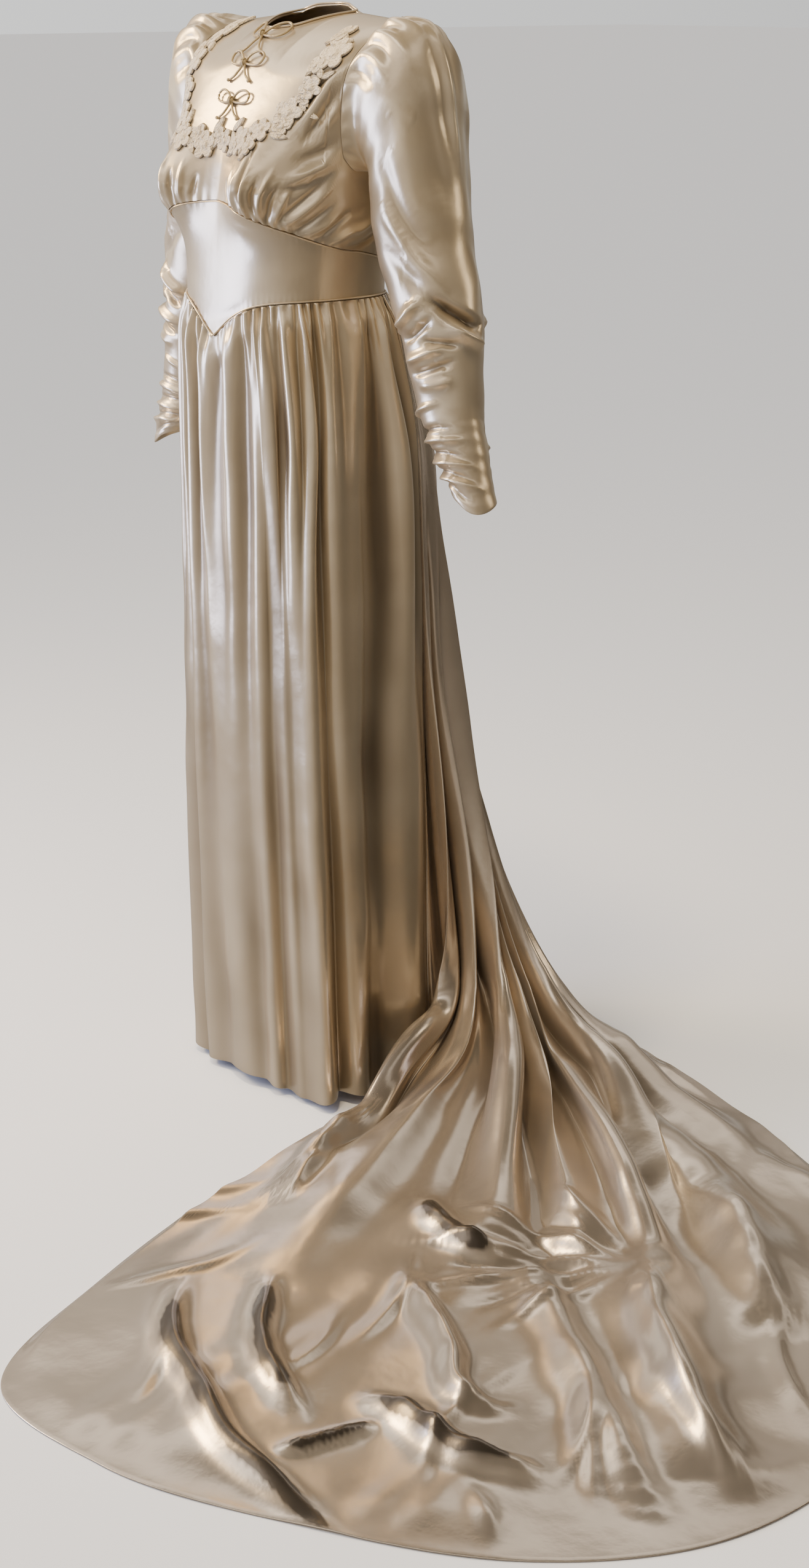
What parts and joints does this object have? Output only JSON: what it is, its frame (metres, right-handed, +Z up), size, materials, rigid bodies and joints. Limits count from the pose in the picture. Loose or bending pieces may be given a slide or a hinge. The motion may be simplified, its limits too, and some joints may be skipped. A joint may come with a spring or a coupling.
{
  "type": "wedding dress",
  "caption": "Long-sleeved ivory satin wedding dress with a pointed midriff, lace wreath, small bows and a court train.",
  "frame": {"origin": "centre of the shoulder line at the base of the neck, where the wearer holds the gown", "axes": "+Z up, the wearer faces -Y, and the wearer's left side is +X"},
  "size_m": [1.6031, 1.2522, 1.4644],
  "materials": {
    "ivory_satin": "satin",
    "beige_lace": "matte lace",
    "satin_rouleau": "satin",
    "covered_button": "satin"
  },
  "bodies": {
    "root": {"bodice_back": "ivory_satin", "bodice_front": "ivory_satin", "bow_bottom_knot": "satin_rouleau", "bow_bottom_loop_left": "satin_rouleau", "bow_bottom_loop_right": "satin_rouleau", "bow_bottom_tail_left": "satin_rouleau", "bow_bottom_tail_right": "satin_rouleau", "bow_middle_knot": "satin_rouleau", "bow_middle_loop_left": "satin_rouleau", "bow_middle_loop_right": "satin_rouleau", "bow_middle_tail_left": "satin_rouleau", "bow_middle_tail_right": "satin_rouleau", "bow_top_knot": "satin_rouleau", "bow_top_loop_left": "satin_rouleau", "bow_top_loop_right": "satin_rouleau", "bow_top_tail_left": "satin_rouleau", "bow_top_tail_right": "satin_rouleau", "button_left_1": "covered_button", "button_left_10": "covered_button", "button_left_2": "covered_button", "button_left_3": "covered_button", "button_left_4": "covered_button", "button_left_5": "covered_button", "button_left_6": "covered_button", "button_left_7": "covered_button", "button_left_8": "covered_button", "button_left_9": "covered_button", "button_right_1": "covered_button", "button_right_10": "covered_button", "button_right_2": "covered_button", "button_right_3": "covered_button", "button_right_4": "covered_button", "button_right_5": "covered_button", "button_right_6": "covered_button", "button_right_7": "covered_button", "button_right_8": "covered_button", "button_right_9": "covered_button", "lace_wreath": "beige_lace", "midriff_back": "ivory_satin", "midriff_front": "ivory_satin", "neck_binding": "ivory_satin", "piping_bust": "ivory_satin", "piping_waist": "ivory_satin", "skirt_back_train": "ivory_satin", "skirt_front": "ivory_satin", "sleeve_left": "ivory_satin", "sleeve_right": "ivory_satin"}
  },
  "joints": []
}
